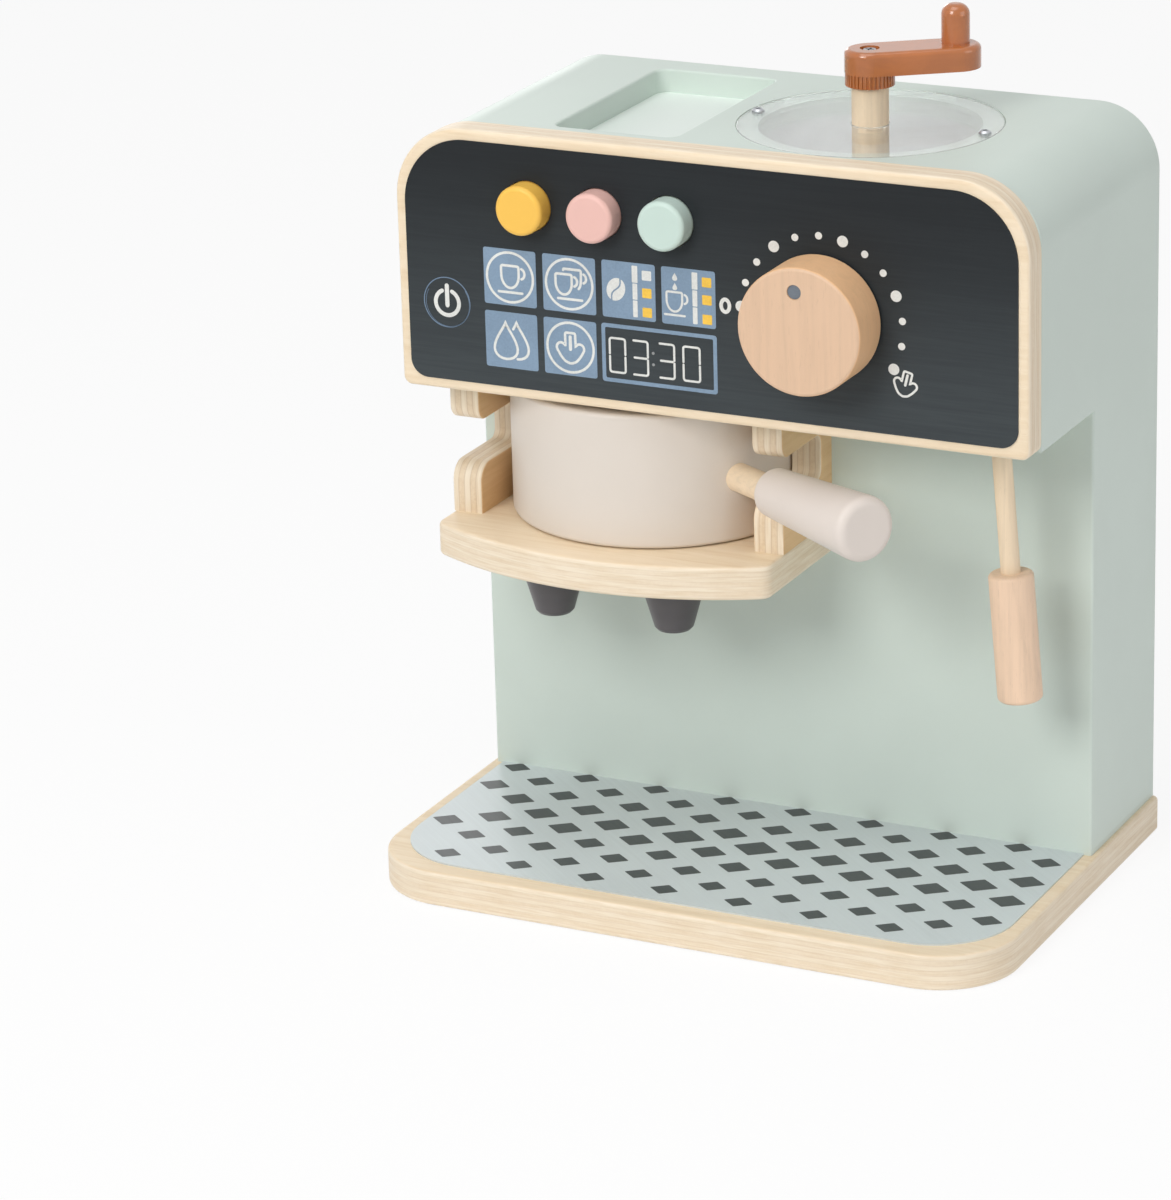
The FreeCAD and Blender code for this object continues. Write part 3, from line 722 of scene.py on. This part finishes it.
def twoCupMarks(x, y, line):
    # one cup in front of another that it partly hides
    marks = cupMarks(x - 1.9, y - 0.3, line, 0.92)
    behind = [(-2.0, 4.55), (-1.9, 5.0), (4.3, 5.0), (4.3, 2.6)] + arcPoints(2.0, 1.6, 2.25, 3.6, 0, -52, 7)
    marks.append(band(moved(softened(behind, 0.6), x, y), line))
    marks.append(band(moved(arcPoints(4.9, 2.3, 1.2, 1.5, 74, -76, 10), x, y), line))
    marks.append(saucerMark(x, y, line, iconArt["twoCupSaucer"]))
    return marks


def dropMarks(x, y, line):
    # two drops, of which the back one shows only where the front one leaves it free
    art = iconArt
    frontX, frontY, size = art["front"]
    backX, backY, backSize = art["back"]
    front = moved(dropOutline(), x + frontX, y + frontY, size)
    back = moved(dropOutline(), x + backX, y + backY, backSize)
    cover = moved(dropOutline(), x + frontX, y + frontY, art["clearOfFront"])
    shown = [not insideOutline(point, cover) for point in back]
    start = next(i for i in range(len(back)) if shown[i] and not shown[i - 1])
    run = []
    for i in range(len(back)):
        if not shown[(start + i) % len(back)]:
            break
        run.append(back[(start + i) % len(back)])
    return [band(front, line, True), band(run, line)]


def drawPanelIcons():
    art = iconArt
    line, thin = art["line"], art["line"] * art["thin"]
    centre = art["centres"]
    half = art["half"]
    squares = [[rectangle(x - half, x + half, y - half, y + half, art["corner"])] for x, y in centre.values()]
    left, right, low, high = clockArt["frame"]
    border = clockArt["border"]
    squares.append([rectangle(left, right, low, high, clockArt["frameCorner"]),
                    rectangle(left + border, right - border, low + border, high - border,
                              clockArt["windowCorner"])])
    marks, yellow = [], []
    for name in ("cup", "twoCups", "steam"):
        x, y = centre[name]
        marks.append(band(ringPoints(x, y, art["ring"]), line, True))
    x, y = centre["cup"]
    marks += cupMarks(x + 0.1, y + 0.1, line)
    marks.append(saucerMark(x, y, line, art["saucer"]))
    marks += twoCupMarks(*centre["twoCups"], line)
    x, y = centre["bean"]
    marks += [[moved(part, x + art["beanAt"], y)] for part in beanHalves()]
    levelLeft, levelRight = art["levelSpan"]
    levelHalf = art["levelHalf"]
    for name in ("bean", "drip"):
        x, y = centre[name]
        for start, end, wide in art["columns"]:
            middle = x + art["columnAt"]
            left, right = middle - wide, middle + wide
            marks.append([rectangle(left, right, y + start, y + end, art["columnCorner"], 3)])
        for i, rise in enumerate(art["levels"]):
            group = marks if name == "bean" and i == 0 else yellow
            low, high = y + rise - levelHalf, y + rise + levelHalf
            group.append([rectangle(x + levelLeft, x + levelRight, low, high, art["levelCorner"], 3)])
    x, y = centre["drip"]
    marks += cupMarks(x - 4.9, y - 2.0, thin, 0.87)
    marks.append(saucerMark(x, y, thin, art["dripSaucer"]))
    for rise, size in art["drips"]:
        marks.append([moved(dropOutline(), x + art["dripAt"], y + rise, size)])
    marks += dropMarks(*centre["water"], line)
    x, y = centre["steam"]
    cloud, wisp = steamLines()
    marks += [band(moved(cloud, x, y), line, True), band(moved(wisp, x, y), art["wisp"])]
    panelPrint("iconSquares", squares, printInk("iconBlueInk", colours["iconBlue"]), printRise["square"])
    panelPrint("iconMarks", marks, whiteInk, printRise["mark"])
    panelPrint("iconLevels", yellow, printInk("iconYellowInk", colours["iconYellow"]), printRise["mark"])


def drawClock():
    art = clockArt
    lines = []
    for digit, left, right in art["digits"]:
        lines += digitLines(digit, left, right, art["low"], art["high"])
    panelPrint("clockDigits", [band(run, art["line"]) for run in lines], whiteInk, printRise["sign"])
    colon = [[ringPoints(x, y, art["colonRadius"], 14)] for x, y in art["colon"]]
    panelPrint("clockColon", colon, printInk("clockGreyInk", colours["colonGrey"]), printRise["sign"])


powerArt = {"centre": (-92.2, 195.5), "radius": 4.25, "line": 1.35, "gap": 25.0,
            "bar": (-0.9, 5.7), "barLine": 1.5, "outer": 8.35, "outerLine": 0.32,
            "inner": (7.9, 7.95), "innerFrom": 150, "innerTo": 395, "innerLine": 0.2}


def drawPower():
    art = powerArt
    x, y = art["centre"]
    ring = arcPoints(x, y, art["radius"], art["radius"], 90 + art["gap"], 450 - art["gap"], 40)
    low, high = art["bar"]
    marks = [band(ring, art["line"]), band([(x, y + low), (x, y + high)], art["barLine"])]
    panelPrint("powerSign", marks, whiteInk, printRise["sign"])
    rings = [band(ringPoints(x - 0.1, y + 0.1, art["outer"], 64), art["outerLine"], True)]
    panelPrint("powerRing", rings, printInk("ringBlueInk", colours["ringBlue"]), printRise["ring"])
    inner = arcPoints(x + 0.15, y - 0.1, *art["inner"], art["innerFrom"], art["innerTo"], 60)
    thinInk = printInk("ringBlueInkThin", shaded(colours["ringBlue"], 0.75))
    panelPrint("powerRingInner", [band(inner, art["innerLine"])], thinInk, printRise["ring"])


dialArt = {"centre": (40.36, 203.72), "radius": 27.7, "first": -86.2, "step": 17.0, "count": 13,
           "small": 1.2, "big": 1.85, "zero": (7.3, 205.2), "zeroRadii": (1.45, 2.05), "zeroLine": 1.25,
           "steam": (68.8, 186.5), "lean": -14.0, "steamSize": 0.8, "steamLine": 0.72, "wisp": 0.85}


def drawDialScale():
    # dots round the knob, every third one big, from a zero to a steam sign
    art = dialArt
    x, y = art["centre"]
    groups = []
    for i in range(art["count"]):
        turn = math.radians(art["first"] + art["step"] * i)
        size = art["big"] if i % 3 == 0 else art["small"]
        dotX, dotY = x + art["radius"] * math.sin(turn), y + art["radius"] * math.cos(turn)
        groups.append([ringPoints(dotX, dotY, size, 28)])
    zeroX, zeroY = art["zero"]
    groups.append(band(arcPoints(zeroX, zeroY, *art["zeroRadii"], 0, 345, 23), art["zeroLine"], True))
    panelPrint("dialScale", groups, whiteInk, printRise["sign"])
    cloud, wisp = steamLines(art["steamSize"])
    steamX, steamY = art["steam"]
    marks = [band(moved(turnedBy(cloud, art["lean"]), steamX, steamY), art["steamLine"], True)]
    marks.append(band(moved(turnedBy(wisp, art["lean"]), steamX, steamY), art["wisp"]))
    panelPrint("dialSteam", marks, whiteInk, printRise["sign"])


pointerArt = {"turn": -5.0, "distance": 13.0, "radius": 2.3, "depth": 0.5}


def drawPointer():
    # the grey spot sunk into the knob's face
    art = pointerArt
    low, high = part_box("dial_knob")
    middleX, middleZ = (low.x + high.x) / 2 * perMetre, (low.z + high.z) / 2 * perMetre
    turn = math.radians(art["turn"])
    x = middleX + art["distance"] * math.sin(turn)
    z = middleZ + art["distance"] * math.cos(turn)
    surface = Matrix.Translation((0, low.y + art["depth"] / perMetre, 0))
    ink = printInk("pointerInk", colours["pointerGrey"])
    printPiece("pointerSpot", [[ringPoints(x, z, art["radius"])]], ink,
               "dial", panelTurn, surface, printRise["pointer"])


gridArt = {"firstX": -100.2, "pitchX": 13.27, "columns": 16, "firstY": 52.2, "pitchY": 8.5, "rows": 10,
           "middleX": -7.0, "middleY": 17.8, "wide": 5.1, "tall": 0.76, "round": 0.5,
           "rowGrowth": 1.7, "rowReach": 20, "middleGrowth": 1.9, "middleReach": (22, 5),
           "sheetCorner": 27.5, "margin": 0.5, "fromPanel": 33.0}


def onSheet(x, y, low, high):
    # whether a point lies on the sheet, whose two front corners are round
    corner, margin = gridArt["sheetCorner"], gridArt["margin"]
    left, right = low.x * perMetre + margin, high.x * perMetre - margin
    front = low.y * perMetre + margin
    aside = max(left + corner - x, x - right + corner, 0)
    ahead = max(front + corner - y, 0)
    return left < x < right and y > front and math.hypot(aside, ahead) < corner


def drawDripGrid():
    # staggered diamonds that grow towards the middle row
    art = gridArt
    low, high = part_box("drip_sheet")
    shift = low.y * perMetre + art["fromPanel"]
    reachX, reachY = art["middleReach"]
    groups = []
    for row in range(art["rows"]):
        for column in range(row % 2, art["columns"], 2):
            x = art["firstX"] + column * art["pitchX"]
            y = art["firstY"] - row * art["pitchY"]
            aside, ahead = x - art["middleX"], y - art["middleY"]
            fromRow = (ahead / art["rowReach"]) ** 2
            fromMiddle = (aside / reachX) ** 2 + (ahead / reachY) ** 2
            wide = art["wide"] + art["rowGrowth"] * math.exp(-fromRow)
            wide += art["middleGrowth"] * math.exp(-fromMiddle)
            tall = wide * art["tall"]
            y += shift
            corners = [(x - wide, y), (x, y - tall), (x + wide, y), (x, y + tall)]
            if all(onSheet(*corner, low, high) for corner in corners):
                groups.append([softened(corners, art["round"], True, 3)])
    ink = silverFilm("diamondPrint", colours["diamond"], 0.1, 0.36)
    printPiece("dripDiamonds", groups, ink, "housing",
               Matrix.Identity(4), Matrix.Translation((0, 0, high.z)), printRise["diamond"])


springArt = {"turns": 4, "steps": 24, "wire": 0.0003, "travel": 0.003}


def coilSprings():
    # the three springs behind the buttons, each held by the batten
    for side in ("left", "middle", "right"):
        node = "button_spring_" + side
        low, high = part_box(node)
        wire = springArt["wire"]
        radius = (high.x - low.x) / 2 - wire
        length = high.y - low.y
        steps = springArt["turns"] * springArt["steps"]
        curve = bpy.data.curves.new("springCoil", "CURVE")
        curve.dimensions = "3D"
        curve.bevel_depth = wire
        curve.bevel_resolution = 2
        curve.use_fill_caps = True
        spline = curve.splines.new("POLY")
        spline.points.add(steps)
        for i, point in enumerate(spline.points):
            turn = 2 * math.pi * i / springArt["steps"]
            y = low.y + wire + (length - 2 * wire) * i / steps
            point.co = ((low.x + high.x) / 2 + radius * math.cos(turn), y,
                        (low.z + high.z) / 2 - radius * math.sin(turn), 1)
        mesh = meshOf(curve)
        mesh.materials.append(zinc)
        spring = bpy.data.objects.new("springCoil" + side.capitalize(), mesh)
        bpy.context.scene.collection.objects.link(spring)
        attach(spring, "housing")
        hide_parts(node)
        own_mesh(spring)


whiteInk = printInk("whiteInk", colours["iconWhite"])
coilSprings()
drawPanelIcons()
drawClock()
drawPower()
drawDialScale()
drawPointer()
drawDripGrid()
print("prints drawn")

studio = {
    "floorSize": 6.0,
    "floorDrop": 0.0002,
    "aim": (0, 0, 0.12),
    "key": {"place": (-0.32, -1.71, 1.25), "size": 0.85, "watts": 20.0, "colour": (1.0, 0.99, 0.975)},
    "fill": {"place": (1.9, -0.2, 0.7), "size": 1.2, "watts": 6.6, "colour": (1.0, 0.985, 0.99)},
    "top": {"place": (-0.1, -0.5, 2.15), "size": 1.4, "watts": 14.0, "colour": (1.0, 1.0, 1.0)},
    "rim": {"place": (-2.2, 3.0, 0.8), "size": 0.8, "watts": 7.5, "colour": (1.0, 1.0, 1.0)},
    "ambient": 0.31,
    "ambientColour": (0.98, 0.99, 1.0, 1),
    "seenFloor": 0.88,
    "seenWorld": 0.97,
}


def buildStudio():
    size = studio["floorSize"]
    bm = bmesh.new()
    bmesh.ops.create_grid(bm, x_segments=8, y_segments=8, size=size / 2)
    mesh = bpy.data.meshes.new("studioFloor")
    bm.to_mesh(mesh)
    bm.free()
    floor = bpy.data.objects.new("studioFloor", mesh)
    floor.location = (0, 0, -studio["floorDrop"])
    bpy.context.scene.collection.objects.link(floor)
    finish = Finish("studioFloor", {"Roughness": 0.9, "Specular IOR Level": 0.1}, shown=False)
    grain = finish.noise(finish.place(), 3, 2)
    finish.paint("Base Color", finish.mixed(grain, tint(246, 246, 246), tint(250, 250, 250)))
    glow = finish.node("ShaderNodeEmission", values={"Color": white, "Strength": 1.0})
    seen = finish.seenDirectly() * studio["seenFloor"]
    blend = finish.node("ShaderNodeMixShader", values={0: seen, 1: finish.surface(), 2: glow})
    finish.show("ShaderNodeOutputMaterial", blend)
    mesh.materials.append(finish.material)

    for name in ("key", "fill", "top", "rim"):
        made = studio[name]
        light = bpy.data.lights.new(name + "Light", "AREA")
        light.shape = "SQUARE"
        light.size = made["size"]
        light.energy = made["watts"]
        light.color = made["colour"]
        lamp = bpy.data.objects.new(name + "Light", light)
        lamp.location = made["place"]
        aim = Vector(studio["aim"]) - Vector(made["place"])
        lamp.rotation_mode = "QUATERNION"
        lamp.rotation_quaternion = aim.to_track_quat("-Z", "Y")
        bpy.context.scene.collection.objects.link(lamp)

    world = bpy.data.worlds.new("studioWorld")
    bpy.context.scene.world = world
    sky = NodeMaker(world)
    soft = sky.node("ShaderNodeBackground",
                    values={"Color": studio["ambientColour"], "Strength": studio["ambient"]})
    bright = sky.node("ShaderNodeBackground", values={"Color": white, "Strength": studio["seenWorld"]})
    seen = sky.seenDirectly()
    sky.show("ShaderNodeOutputWorld", sky.node("ShaderNodeMixShader", values={0: seen, 1: soft, 2: bright}))


cameraFit = {
    "place": (0.667836, -1.434976, 0.670315),
    "right": (0.8950465, 0.4450916, -0.0280231),
    "up": (-0.1287338, 0.3180131, 0.9393057),
    "lens": 153.414,
    "sensor": 36.0,
    "near": 0.05,
    "far": 30,
}


def placeCamera():
    right, up = Vector(cameraFit["right"]), Vector(cameraFit["up"])
    back = right.cross(up)
    data = bpy.data.cameras.new("photoCamera")
    data.lens = cameraFit["lens"]
    data.sensor_width = cameraFit["sensor"]
    data.clip_start, data.clip_end = cameraFit["near"], cameraFit["far"]
    camera = bpy.data.objects.new("photoCamera", data)
    turn = Matrix((right, up, back)).transposed().to_4x4()
    camera.matrix_world = Matrix.Translation(cameraFit["place"]) @ turn
    bpy.context.scene.collection.objects.link(camera)
    bpy.context.scene.camera = camera


buildStudio()
placeCamera()
bpy.context.scene.view_settings.view_transform = "Standard"
print("studio and camera ready")
